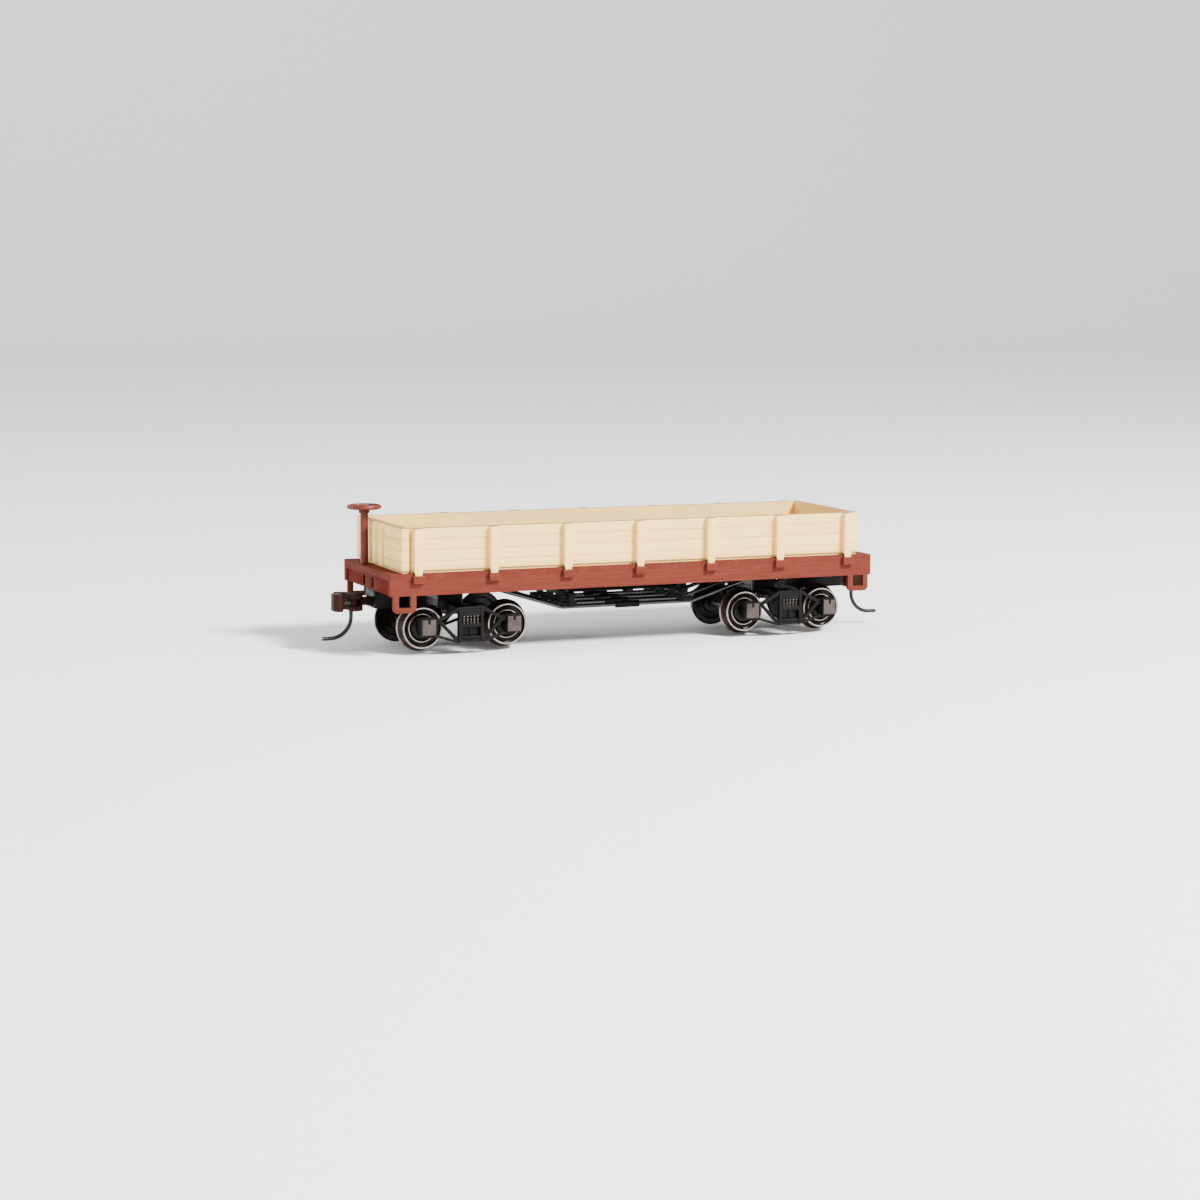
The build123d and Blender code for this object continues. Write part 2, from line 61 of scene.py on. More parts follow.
def toMesh(name, shape, scale=mm):
    mesh = bpy.data.meshes.new(name)
    bmesh.ops.scale(shape, vec=(scale, scale, scale), verts=shape.verts)
    bmesh.ops.recalc_face_normals(shape, faces=shape.faces)
    shape.to_mesh(mesh)
    shape.free()
    return mesh


def merge(shapes):
    total = bmesh.new()
    for shape in shapes:
        part = bpy.data.meshes.new("part")
        shape.to_mesh(part)
        shape.free()
        total.from_mesh(part)
        bpy.data.meshes.remove(part)
    return total


def roundEdges(shape, width, segments=2, pick=None):
    edges = [e for e in shape.edges
             if e.is_manifold and e.calc_face_angle(0) > bevelLimit and (pick is None or pick(e))]
    bmesh.ops.bevel(shape, geom=edges, offset=width, segments=segments, profile=0.5, affect="EDGES",
                    clamp_overlap=True)
    return shape


def block(low, high, edge=0.08, segments=2, pick=None):
    shape = bmesh.new()
    bmesh.ops.create_cube(shape, size=1)
    for v in shape.verts:
        v.co = Vector([low[i] + (v.co[i] + 0.5) * (high[i] - low[i]) for i in range(3)])
    return roundEdges(shape, edge, segments, pick) if edge else shape


def prism(outline, span, axis="y", edge=0.08, segments=2):
    # outline pairs are (x, z) for axis y, (y, z) for axis x, (x, y) for axis z
    place = {"x": lambda a, b, t: (t, a, b),
             "y": lambda a, b, t: (a, t, b),
             "z": lambda a, b, t: (a, b, t)}[axis]
    shape = bmesh.new()
    first = [shape.verts.new(place(a, b, span[0])) for a, b in outline]
    last = [shape.verts.new(place(a, b, span[1])) for a, b in outline]
    shape.faces.new(first)
    shape.faces.new(last)
    for i in range(len(outline)):
        j = (i + 1) % len(outline)
        shape.faces.new((first[i], first[j], last[j], last[i]))
    bmesh.ops.recalc_face_normals(shape, faces=shape.faces)
    return roundEdges(shape, edge, segments) if edge else shape


def ribbon(points, thick, span, edge=0.08):
    # a flat bar that follows (x, z) points, with mitred corners
    sides = ([], [])
    for i, point in enumerate(points):
        here = Vector(point)
        before = (here - Vector(points[i - 1])).normalized() if i else None
        after = (Vector(points[i + 1]) - here).normalized() if i < len(points) - 1 else None
        along = ((before or after) + (after or before)).normalized()
        normal = Vector((-along.y, along.x))
        reach = thick / 2 / max(0.5, abs(along.dot(after or before)))
        sides[0].append(tuple(here + normal * reach))
        sides[1].append(tuple(here - normal * reach))
    return prism(sides[0] + sides[1][::-1], span, "y", edge)


def lathe(profile, steps):
    # turns (radius, height) pairs about the upright axis, the profile closed on itself or on the axis
    shape = bmesh.new()
    rings = []
    for i in range(steps):
        turn = 2 * math.pi * i / steps
        rings.append([shape.verts.new((r * math.cos(turn), r * math.sin(turn), h)) for r, h in profile])
    for i in range(steps):
        a, b = rings[i], rings[(i + 1) % steps]
        for k in range(len(profile)):
            n = (k + 1) % len(profile)
            shape.faces.new((a[k], b[k], b[n], a[n]))
    bmesh.ops.remove_doubles(shape, verts=shape.verts, dist=1e-5)
    return shape


def moved(shape, offset=(0, 0, 0), turn=0):
    # turns the shape about the upright axis, in degrees, and then shifts it
    if turn:
        about = Matrix.Rotation(math.radians(turn), 3, "Z")
        bmesh.ops.rotate(shape, cent=(0, 0, 0), matrix=about, verts=shape.verts)
    bmesh.ops.translate(shape, vec=offset, verts=shape.verts)
    return shape


def tube(name, points, radius, resolution=6):
    # a round wire through the points, in millimetres
    curve = bpy.data.curves.new(name, "CURVE")
    curve.dimensions = "3D"
    curve.bevel_depth = radius * mm
    curve.bevel_resolution = resolution
    curve.use_fill_caps = True
    spline = curve.splines.new("POLY")
    spline.points.add(len(points) - 1)
    for target, point in zip(spline.points, points):
        target.co = (point[0] * mm, point[1] * mm, point[2] * mm, 1)
    thing = bpy.data.objects.new(name, curve)
    bpy.context.scene.collection.objects.link(thing)
    mesh = bpy.data.meshes.new_from_object(thing)
    bpy.data.objects.remove(thing)
    return mesh


def roundedPath(points, radius, steps=8):
    # swaps each inner corner for a smooth bend
    out = [Vector(points[0])]
    for a, b, c in zip(points, points[1:], points[2:]):
        a, b, c = Vector(a), Vector(b), Vector(c)
        start, end = b + (a - b).normalized() * radius, b + (c - b).normalized() * radius
        for i in range(steps + 1):
            t = i / steps
            out.append(start.lerp(b, t).lerp(b.lerp(end, t), t))
    return out + [Vector(points[-1])]


def joinMeshes(name, meshes):
    shape = bmesh.new()
    for mesh in meshes:
        shape.from_mesh(mesh)
    bmesh.ops.remove_doubles(shape, verts=shape.verts, dist=1e-8)
    joined = bpy.data.meshes.new(name)
    shape.to_mesh(joined)
    shape.free()
    return joined


def finish(thing, body, material, replaced=()):
    thing.data.materials.clear()
    thing.data.materials.append(material)
    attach(thing, body)
    if replaced:
        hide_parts(*replaced)
    return thing


def softened(node, body, material, edge=0.07, segments=2):
    # a copy of a CAD part with its sharp edges rounded off
    shape = bmesh.new()
    shape.from_mesh(nodes[node].data)
    bmesh.ops.scale(shape, vec=(perMetre, perMetre, perMetre), verts=shape.verts)
    bmesh.ops.remove_doubles(shape, verts=shape.verts, dist=0.002)
    bmesh.ops.dissolve_limit(shape, angle_limit=math.radians(1), verts=shape.verts, edges=shape.edges)
    roundEdges(shape, edge, segments)
    thing = addObject(node + "_body", toMesh(node, shape))
    return finish(thing, body, material, (node,))


# materials

def shader(name):
    material = bpy.data.materials.new(name)
    material.use_nodes = True
    tree = material.node_tree
    tree.nodes.clear()
    output = tree.nodes.new("ShaderNodeOutputMaterial")
    surface = tree.nodes.new("ShaderNodeBsdfPrincipled")
    tree.links.new(surface.outputs[0], output.inputs[0])
    coordinates = tree.nodes.new("ShaderNodeTexCoord")
    scaled = tree.nodes.new("ShaderNodeMapping")
    scaled.inputs["Scale"].default_value = (perMetre, perMetre, perMetre)
    tree.links.new(coordinates.outputs["Object"], scaled.inputs["Vector"])
    return material, tree, surface, scaled.outputs[0]


def link(tree, source, target):
    if isinstance(source, (int, float, tuple)):
        target.default_value = source
    else:
        tree.links.new(source, target)


def calc(tree, kind, *values, clamp=False):
    node = tree.nodes.new("ShaderNodeMath")
    node.operation = kind
    node.use_clamp = clamp
    for i, value in enumerate(values):
        link(tree, value, node.inputs[i])
    return node.outputs[0]


def noise(tree, vector, stretch, detail, roughness, offset=(0, 0, 0)):
    place = tree.nodes.new("ShaderNodeMapping")
    place.inputs["Scale"].default_value = stretch
    place.inputs["Location"].default_value = offset
    tree.links.new(vector, place.inputs["Vector"])
    cloud = tree.nodes.new("ShaderNodeTexNoise")
    cloud.inputs["Scale"].default_value = 1
    cloud.inputs["Detail"].default_value = detail
    cloud.inputs["Roughness"].default_value = roughness
    tree.links.new(place.outputs[0], cloud.inputs["Vector"])
    return cloud.outputs["Fac"]


def span(tree, value, low, high, outLow=0.0, outHigh=1.0):
    node = tree.nodes.new("ShaderNodeMapRange")
    node.interpolation_type = "SMOOTHSTEP"
    for key, number in (("From Min", low), ("From Max", high), ("To Min", outLow), ("To Max", outHigh)):
        node.inputs[key].default_value = number
    tree.links.new(value, node.inputs["Value"])
    return node.outputs[0]


def blendColour(tree, factor, a, b):
    node = tree.nodes.new("ShaderNodeMix")
    node.data_type = "RGBA"
    link(tree, factor, node.inputs["Factor"])
    link(tree, a if not isinstance(a, tuple) else (*a, 1), node.inputs["A"])
    link(tree, b if not isinstance(b, tuple) else (*b, 1), node.inputs["B"])
    return node.outputs["Result"]


def bump(tree, surface, height, depth, chain=None):
    node = tree.nodes.new("ShaderNodeBump")
    node.inputs["Strength"].default_value = 1.0
    node.inputs["Distance"].default_value = depth * mm
    link(tree, height, node.inputs["Height"])
    if chain is not None:
        tree.links.new(chain, node.inputs["Normal"])
    tree.links.new(node.outputs[0], surface.inputs["Normal"])
    return node.outputs[0]


def axisOf(tree, vector, axis):
    node = tree.nodes.new("ShaderNodeSeparateXYZ")
    tree.links.new(vector, node.inputs[0])
    return node.outputs["XYZ".index(axis)]


# each noise: stretch, detail, roughness and offset
clouds = {"board": ((0.11, 0.11, 0.11), 3, 0.5, (7, 3, 1)), "boardFine": ((2.6, 2.6, 2.6), 3, 0.6, (1, 5, 9)),
          "plain": ((0.35, 0.35, 0.35), 4, 0.55), "plainFine": ((5, 5, 5), 3, 0.6, (3, 1, 4)),
          "turned": ((0.5, 0.5, 0.5), 4, 0.6), "turnedFine": ((6, 6, 6), 2, 0.5),
          "studio": ((0.02, 0.02, 0.02), 2, 0.5)}
grainDetail, grainRoughness, ringDetail = 5, 0.6, 3
# where each pattern or slope starts and ends, then what it gives there if that isn't 0 and 1
bands = {"middle": (0.3, 0.7), "dirt": (0.55, 0.8), "boardTop": (0.35, 0.9), "paintedEdgeShade": (0.3, 0.6, 0.7, 1.0),
         "mottle": (0.35, 0.7), "turnedMottle": (0.35, 0.75), "upward": (0.2, 1.0),
         "studio": (0.2, 0.8, 0.85, 0.95)}
edgeShadeDepth = (0.35, 0.1)  # millimetres under the top edge where the strip of painted shade starts and is full


def boardPaint(name, look):
    # painted boards: each board has its own tone, grain runs along it, dirt sits in the low spots, and
    # up-facing faces just under the top edge get a painted shade of dark brown
    material, tree, surface, place = shader(name)
    across = calc(tree, "ADD", axisOf(tree, place, look["boardAxis"]), look["boardStart"])
    number = calc(tree, "FLOOR", calc(tree, "DIVIDE", across, look["boardPitch"]))
    pick = tree.nodes.new("ShaderNodeTexWhiteNoise")
    pick.noise_dimensions = "1D"
    tree.links.new(number, pick.inputs["W"])
    grain = noise(tree, place, look["grain"], grainDetail, grainRoughness)
    cloud = noise(tree, place, *clouds["board"])
    fine = noise(tree, place, *clouds["boardFine"])
    tone = calc(tree, "ADD", calc(tree, "MULTIPLY", pick.outputs["Value"], look["boardTone"]),
                calc(tree, "MULTIPLY", span(tree, grain, *bands["middle"]), look["grainTone"]))
    tone = calc(tree, "ADD", tone, calc(tree, "MULTIPLY", cloud, look["cloudTone"]), clamp=True)
    colour = blendColour(tree, tone, look["colour"], look["deepColour"])
    dirt = calc(tree, "MULTIPLY", span(tree, fine, *bands["dirt"]), look["dirt"])
    colour = blendColour(tree, dirt, colour, look["dirtColour"])
    # painted shade: faces turned up near the top edge are darkened brown to stand in for the shade along the
    # tops of the walls
    if look.get("edgeHeight"):
        normal = tree.nodes.new("ShaderNodeNewGeometry")
        up = span(tree, axisOf(tree, normal.outputs["Normal"], "Z"), *bands["boardTop"])
        strip = [look["edgeHeight"] - depth for depth in edgeShadeDepth]
        high = span(tree, axisOf(tree, place, "Z"), *strip)
        paintedEdgeShade = calc(tree, "MULTIPLY", calc(tree, "MULTIPLY", up, high), span(tree, fine, *bands["paintedEdgeShade"]))
        colour = blendColour(tree, paintedEdgeShade, colour, look["edgeShadeColour"])
    tree.links.new(colour, surface.inputs["Base Color"])
    tree.links.new(span(tree, cloud, *bands["middle"], *look["rough"]), surface.inputs["Roughness"])
    surface.inputs["Specular IOR Level"].default_value = look["gloss"]
    first = bump(tree, surface, grain, look["grainDepth"])
    bump(tree, surface, fine, look["fineDepth"], first)
    return material


def plainFinish(name, look):
    # moulded plastic or painted metal with slight mottling, dust and a fine skin
    material, tree, surface, place = shader(name)
    cloud = noise(tree, place, *clouds["plain"])
    fine = noise(tree, place, *clouds["plainFine"])
    colour = blendColour(tree, span(tree, cloud, *bands["mottle"]), look["colour"], look["deepColour"])
    normal = tree.nodes.new("ShaderNodeNewGeometry")
    up = span(tree, axisOf(tree, normal.outputs["Normal"], "Z"), *bands["upward"])
    specks = calc(tree, "MULTIPLY", up, span(tree, fine, *bands["mottle"]))
    dust = calc(tree, "MULTIPLY", specks, look["dust"])
    colour = blendColour(tree, dust, colour, look["dustColour"])
    tree.links.new(colour, surface.inputs["Base Color"])
    tree.links.new(span(tree, cloud, *bands["middle"], *look["rough"]), surface.inputs["Roughness"])
    surface.inputs["Specular IOR Level"].default_value = look["gloss"]
    surface.inputs["Metallic"].default_value = look.get("metal", 0.0)
    first = bump(tree, surface, cloud, look["depth"] * 2)
    bump(tree, surface, fine, look["depth"], first)
    return material


def turnedFinish(name, look, centre):
    # lathe-turned metal: fine rings about the wheel's own axis
    material, tree, surface, place = shader(name)
    x = calc(tree, "SUBTRACT", axisOf(tree, place, "X"), centre[0])
    z = calc(tree, "SUBTRACT", axisOf(tree, place, "Z"), centre[1])
    squares = calc(tree, "ADD", calc(tree, "MULTIPLY", x, x), calc(tree, "MULTIPLY", z, z))
    radius = calc(tree, "SQRT", squares)
    rings = tree.nodes.new("ShaderNodeTexNoise")
    rings.noise_dimensions = "1D"
    rings.inputs["Scale"].default_value = look["ringScale"]
    rings.inputs["Detail"].default_value = ringDetail
    tree.links.new(radius, rings.inputs["W"])
    cloud = noise(tree, place, *clouds["turned"])
    fine = noise(tree, place, *clouds["turnedFine"])
    colour = blendColour(tree, span(tree, cloud, *bands["turnedMottle"]), look["colour"], look["deepColour"])
    tree.links.new(colour, surface.inputs["Base Color"])
    tree.links.new(span(tree, fine, *bands["middle"], *look["rough"]), surface.inputs["Roughness"])
    surface.inputs["Metallic"].default_value = look["metal"]
    surface.inputs["Specular IOR Level"].default_value = look.get("gloss", 0.5)
    bump(tree, surface, rings.outputs["Fac"], look["depth"])
    return material


# the edge colour is a painted shade on the tops of the cream walls and stakes
creamSides = {
    "colour": (0.96, 0.68, 0.24), "deepColour": (0.85, 0.55, 0.17), "boardAxis": "Z", "boardStart": -18.6,
    "boardPitch": 2.5, "boardTone": 0.35, "grain": (0.16, 2.2, 2.6), "grainTone": 0.35, "cloudTone": 0.3,
    "dirt": 0.12, "dirtColour": (0.45, 0.24, 0.08), "edgeHeight": 28.6, "edgeShadeColour": (0.30, 0.15, 0.06),
    "rough": (0.5, 0.62), "gloss": 0.15, "grainDepth": 0.045, "fineDepth": 0.01}
creamEnds = dict(creamSides, grain=(2.2, 0.16, 2.6))
creamStakes = dict(creamSides, boardAxis="X", boardStart=8.9, boardPitch=17.87, grain=(2.4, 2.4, 0.2),
                   boardTone=0.3)
redBoards = {
    "colour": (0.15, 0.034, 0.022), "deepColour": (0.105, 0.022, 0.014), "boardAxis": "X", "boardStart": 60.0,
    "boardPitch": 2.5, "boardTone": 0.5, "grain": (2.4, 0.16, 2.4), "grainTone": 0.8, "cloudTone": 0.4,
    "dirt": 0.25, "dirtColour": (0.06, 0.007, 0.004), "rough": (0.55, 0.7), "gloss": 0.04,
    "grainDepth": 0.04, "fineDepth": 0.012}
redSills = dict(redBoards, boardPitch=500.0, grain=(0.14, 2.0, 2.4), boardTone=0.0)
# painted shade: the end sills get the sill red made darker, standing in for the weaker light on the faces
# turned to the car's ends
shadedEndSillRed = dict(redSills, colour=(0.11, 0.010, 0.004), deepColour=(0.08, 0.007, 0.003),
                   grain=(2.0, 0.14, 2.4))
blackPlastic = {
    "colour": (0.0045, 0.004, 0.0037), "deepColour": (0.0025, 0.0022, 0.002), "dust": 0.15,
    "dustColour": (0.02, 0.016, 0.013), "rough": (0.34, 0.5), "gloss": 0.08, "depth": 0.01}
truckPlastic = dict(blackPlastic, colour=(0.0045, 0.004, 0.004), deepColour=(0.002, 0.0018, 0.0018),
                    gloss=0.12)
glossyRod = dict(blackPlastic, rough=(0.14, 0.24), gloss=0.7)
greyLid = dict(blackPlastic, colour=(0.075, 0.055, 0.052), deepColour=(0.042, 0.032, 0.03))
tripPaint = dict(blackPlastic, colour=(0.004, 0.004, 0.005), gloss=0.35)
couplerPaint = dict(blackPlastic, colour=(0.026, 0.0085, 0.0055), deepColour=(0.012, 0.0045, 0.0032),
                    dustColour=(0.12, 0.06, 0.04), rough=(0.42, 0.6), metal=0.2)
redMetal = {
    "colour": (0.125, 0.015, 0.008), "deepColour": (0.085, 0.010, 0.005), "dust": 0.15,
    "dustColour": (0.2, 0.05, 0.03), "rough": (0.38, 0.52), "gloss": 0.3, "depth": 0.012}
darkSteel = dict(blackPlastic, colour=(0.10, 0.09, 0.085), deepColour=(0.04, 0.036, 0.035), metal=1.0,
                 rough=(0.3, 0.45))
plainSteel = dict(darkSteel, colour=(0.5, 0.48, 0.46), deepColour=(0.33, 0.31, 0.3))
brightSpring = dict(darkSteel, colour=(0.1, 0.09, 0.085), deepColour=(0.04, 0.035, 0.034))
springBronze = dict(darkSteel, colour=(0.55, 0.33, 0.14), deepColour=(0.4, 0.22, 0.09))
brightRim = {"colour": (0.36, 0.31, 0.29), "deepColour": (0.22, 0.185, 0.17), "ringScale": 9,
             "rough": (0.18, 0.34), "metal": 1.0, "depth": 0.01}
blackWeb = {"colour": (0.007, 0.0045, 0.004), "deepColour": (0.004, 0.003, 0.0025), "ringScale": 5,
            "rough": (0.12, 0.24), "metal": 0.0, "depth": 0.006, "gloss": 0.12}
# painted reflection: the tread steel is made dark brown to stand in for the shadowed underside it mirrors
treadPaintedReflection = dict(blackWeb, colour=(0.035, 0.02, 0.016), deepColour=(0.016, 0.01, 0.008), rough=(0.28, 0.42),
                  metal=0.6)

sidePaint = boardPaint("cream_side_boards", creamSides)
endPaint = boardPaint("cream_end_boards", creamEnds)
stakePaint = boardPaint("cream_stakes", creamStakes)
deckPaint = boardPaint("red_deck_boards", redBoards)
sillPaint = boardPaint("red_sills", redSills)
shadedEndSillPaint = boardPaint("red_end_sills_painted_shade", shadedEndSillRed)
underPaint = plainFinish("black_underframe", blackPlastic)
truckPaint = plainFinish("black_truck", truckPlastic)
lidPaint = plainFinish("grey_journal_lid", greyLid)
tripFinish = plainFinish("black_trip_wire", tripPaint)
couplerFinish = plainFinish("brown_coupler", couplerPaint)
brakePaint = plainFinish("red_brake", redMetal)
screwSteel = plainFinish("dark_steel", darkSteel)
weightSteel = plainFinish("plain_steel", plainSteel)
rodPaint = plainFinish("glossy_black_rod", glossyRod)
springSteel = plainFinish("spring_steel", brightSpring)
bronze = plainFinish("spring_bronze", springBronze)
print("materials ready")


# geometry node trees for what repeats

def newTree(name, inputs):
    tree = bpy.data.node_groups.new(name, "GeometryNodeTree")
    tree.interface.new_socket("Geometry", in_out="OUTPUT", socket_type="NodeSocketGeometry")
    for label, kind in inputs:
        tree.interface.new_socket(label, in_out="INPUT", socket_type="NodeSocket" + kind)
    return tree, tree.nodes.new("NodeGroupInput"), tree.nodes.new("NodeGroupOutput")


def copyAlongLine(tree, given, result, piece, scale=None):
    # sets the piece out along a line, makes the copies real and dresses them
    line = tree.nodes.new("GeometryNodeMeshLine")
    line.mode = "OFFSET"
    copies = tree.nodes.new("GeometryNodeInstanceOnPoints")
    real = tree.nodes.new("GeometryNodeRealizeInstances")
    dress = tree.nodes.new("GeometryNodeSetMaterial")
    join = tree.links.new
    for label, socket in (("Count", "Count"), ("First place", "Start Location"), ("Step", "Offset")):
        join(given.outputs[label], line.inputs[socket])
    join(line.outputs[0], copies.inputs["Points"])
    join(piece, copies.inputs["Instance"])
    if scale is not None:
        join(scale, copies.inputs["Scale"])
    join(copies.outputs[0], real.inputs[0])
    join(real.outputs[0], dress.inputs["Geometry"])
    join(given.outputs["Finish"], dress.inputs["Material"])
    join(dress.outputs[0], result.inputs[0])


def rowTree():
    # copies the piece along a line, each copy a touch different in size
    tree, given, result = newTree("rowOfPieces", [
        ("Piece", "Geometry"), ("Count", "Int"), ("First place", "Vector"), ("Step", "Vector"),
        ("Smallest", "Vector"), ("Largest", "Vector"), ("Seed", "Int"), ("Finish", "Material")])
    size = tree.nodes.new("FunctionNodeRandomValue")
    size.data_type = "FLOAT_VECTOR"
    for label, socket in (("Smallest", 0), ("Largest", 1), ("Seed", "Seed")):
        tree.links.new(given.outputs[label], size.inputs[socket])
    copyAlongLine(tree, given, result, given.outputs["Piece"], size.outputs[0])
    return tree


def coilTree():
    # a row of upright coil springs
    tree, given, result = newTree("rowOfCoils", [
        ("Piece", "Geometry"), ("Count", "Int"), ("First place", "Vector"), ("Step", "Vector"),
        ("Turns", "Float"), ("Coil radius", "Float"), ("Wire radius", "Float"), ("Height", "Float"),
        ("Finish", "Material")])
    coil = tree.nodes.new("GeometryNodeCurveSpiral")
    coil.inputs["Resolution"].default_value = 18
    wire = tree.nodes.new("GeometryNodeCurvePrimitiveCircle")
    wire.inputs["Resolution"].default_value = 7
    sweep = tree.nodes.new("GeometryNodeCurveToMesh")
    sweep.inputs["Fill Caps"].default_value = True
    for label, socket in (("Turns", "Rotations"), ("Coil radius", "Start Radius"),
                          ("Coil radius", "End Radius"), ("Height", "Height")):
        tree.links.new(given.outputs[label], coil.inputs[socket])
    tree.links.new(given.outputs["Wire radius"], wire.inputs["Radius"])
    tree.links.new(coil.outputs[0], sweep.inputs["Curve"])
    tree.links.new(wire.outputs[0], sweep.inputs["Profile Curve"])
    copyAlongLine(tree, given, result, sweep.outputs[0])
    return tree


def bake(name, tree, piece, values):
    # runs a tree on a piece and returns the plain mesh
    thing = bpy.data.objects.new(name + "_source", piece)
    bpy.context.scene.collection.objects.link(thing)
    modifier = thing.modifiers.new("repeat", "NODES")
    modifier.node_group = tree
    for item in tree.interface.items_tree:
        if item.in_out == "INPUT" and item.name in values:
            modifier[item.identifier] = values[item.name]
    bpy.context.view_layer.update()
    evaluated = thing.evaluated_get(bpy.context.evaluated_depsgraph_get())
    mesh = bpy.data.meshes.new_from_object(evaluated)
    mesh.name = name
    thing.modifiers.remove(modifier)
    bpy.data.objects.remove(thing)
    return mesh


rows = rowTree()
coils = coilTree()


def row(name, piece, count, first, step, finishMaterial, play=(0, 0, 0), seed=1):
    return bake(name, rows, toMesh(name + "_one", piece), {
        "Count": count, "First place": [v * mm for v in first], "Step": [v * mm for v in step],
        "Smallest": [1 - p for p in play], "Largest": [1.0 + p for p in play], "Seed": seed,
        "Finish": finishMaterial})


# the cream box of boards

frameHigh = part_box("frame_deck")[1]
deckTop = frameHigh.z / mm
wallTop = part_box("plain_end_panel")[1].z / mm
boxEnd = 57.2
boxSide = 15.55
wall = {"sideThick": 1.5, "endThick": 1.9, "foot": 0.5, "footBack": 0.45, "round": 0.24, "roundSteps": 4,
        "boards": 4, "join": 0.02, "cornerGap": 0.35, "cornerDeep": 0.9, "lip": 0.05, "endClear": 0.01,
        "endFootRise": 0.3}
stake = {"count": 7, "pitch": 17.87, "width": 2.0, "depth": 1.5, "sunk": 0.2, "under": 0.02, "edge": 0.16,
         "tipWidth": 1.62, "tipThick": 0.5, "tipLow": 17.02, "tipInset": 0.08, "tipRise": 0.3, "tipNeck": 0.32,
         "tipEdge": 0.06, "endY": 2.35, "endDepth": 0.4, "endEdge": 0.15, "play": (0.012, 0, 0), "seed": 3}
onFace = 1e-4
boardPitch = (wallTop - deckTop) / wall["boards"]
stakeFirst = -(stake["count"] - 1) / 2 * stake["pitch"]


def sideWall(name, node, side):
    end = boxEnd - wall["endThick"] - wall["join"]
    reach = end - wall["cornerGap"]
    inner, outer = boxSide - wall["sideThick"], boxSide
    ys = (inner, outer) if side > 0 else (-outer, -inner)
    face = side * outer

    def outside(e):
        lengthwise = abs(e.verts[0].co.x - e.verts[1].co.x) > 1
        return lengthwise and all(abs(v.co.y - face) < onFace for v in e.verts)

    upper = block((-reach, ys[0], 0), (reach, ys[1], boardPitch), wall["round"], wall["roundSteps"], outside)
    planks = row(name + "_planks", upper, wall["boards"] - 1, (0, 0, deckTop + boardPitch), (0, 0, boardPitch),
                 sidePaint)
    low = deckTop + wall["foot"]
    bottom = block((-reach, ys[0], low), (reach, ys[1], deckTop + boardPitch), wall["round"],
                   wall["roundSteps"], outside)
    footYs = (inner, outer - wall["footBack"]) if side > 0 else (-outer + wall["footBack"], -inner)
    foot = block((-reach, footYs[0], deckTop), (reach, footYs[1], low + wall["join"]), 0)
    deep = (inner, outer - wall["cornerDeep"]) if side > 0 else (wall["cornerDeep"] - outer, -inner)
    lip = wall["lip"]
    lips = [block((a, deep[0], deckTop), (b, deep[1], wallTop - lip), lip)
            for a, b in ((-end, -reach + lip), (reach - lip, end))]
    rest = toMesh(name + "_rest", merge([bottom, foot] + lips))
    thing = addObject(name, joinMeshes(name, [planks, rest]))
    finish(thing, "car_body", sidePaint, (node,))

    half, front = stake["width"] / 2, boxSide + stake["depth"]
    post = block((-half, boxSide - stake["sunk"], low), (half, front, wallTop - stake["under"]),
                 stake["edge"], 3)
    wide, narrow = half - stake["tipInset"], stake["tipWidth"] / 2
    right = [(wide, low + stake["tipRise"]), (wide, low), (narrow, low - stake["tipNeck"]),
             (narrow, stake["tipLow"])]
    tip = prism([(-x, z) for x, z in right] + right[::-1],
                (front - stake["tipThick"], front - stake["under"]), "y", stake["tipEdge"])
    one = merge([post, tip])
    if side < 0:
        moved(one, turn=180)
    stakes = row(name + "_stakes", one, stake["count"], (stakeFirst, 0, 0), (stake["pitch"], 0, 0), stakePaint,
                 stake["play"], stake["seed"] + side)
    finish(addObject(name + "_stakes", stakes), "car_body", stakePaint)


def endWall(name, node, end):
    inner, outer = boxEnd - wall["endThick"], boxEnd
    side = boxSide - wall["endClear"]

    def outside(e):
        return not all(abs(v.co.x - inner) < onFace for v in e.verts)

    upper = block((inner, -side, 0), (outer, side, boardPitch), wall["round"], wall["roundSteps"], outside)
    low = deckTop + wall["foot"]
    bottom = block((inner, -side, low), (outer, side, deckTop + boardPitch), wall["round"],
                   wall["roundSteps"], outside)
    footSide = side - wall["footBack"]
    foot = block((inner, -footSide, deckTop),
                 (outer - wall["footBack"], footSide, low + wall["endFootRise"]), 0)
    half = stake["width"] / 2
    posts = [block((outer - stake["sunk"], y - half, low),
                   (outer + stake["endDepth"], y + half, wallTop - stake["under"]), stake["endEdge"], 3)
             for y in (-stake["endY"], stake["endY"])]
    turn = 0 if end > 0 else 180
    planks = row(name + "_planks", moved(upper, turn=turn), wall["boards"] - 1, (0, 0, deckTop + boardPitch),
                 (0, 0, boardPitch), endPaint)
    rest = toMesh(name + "_rest", moved(merge([bottom, foot] + posts), turn=turn))
    finish(addObject(name, joinMeshes(name, [planks, rest])), "car_body", endPaint, (node,))


sideWall("left_boards", "left_side_panel", 1)
sideWall("right_boards", "right_side_panel", -1)
endWall("brake_end_boards", "brake_end_panel", -1)
endWall("plain_end_boards", "plain_end_panel", 1)
print("box done")


# the red frame

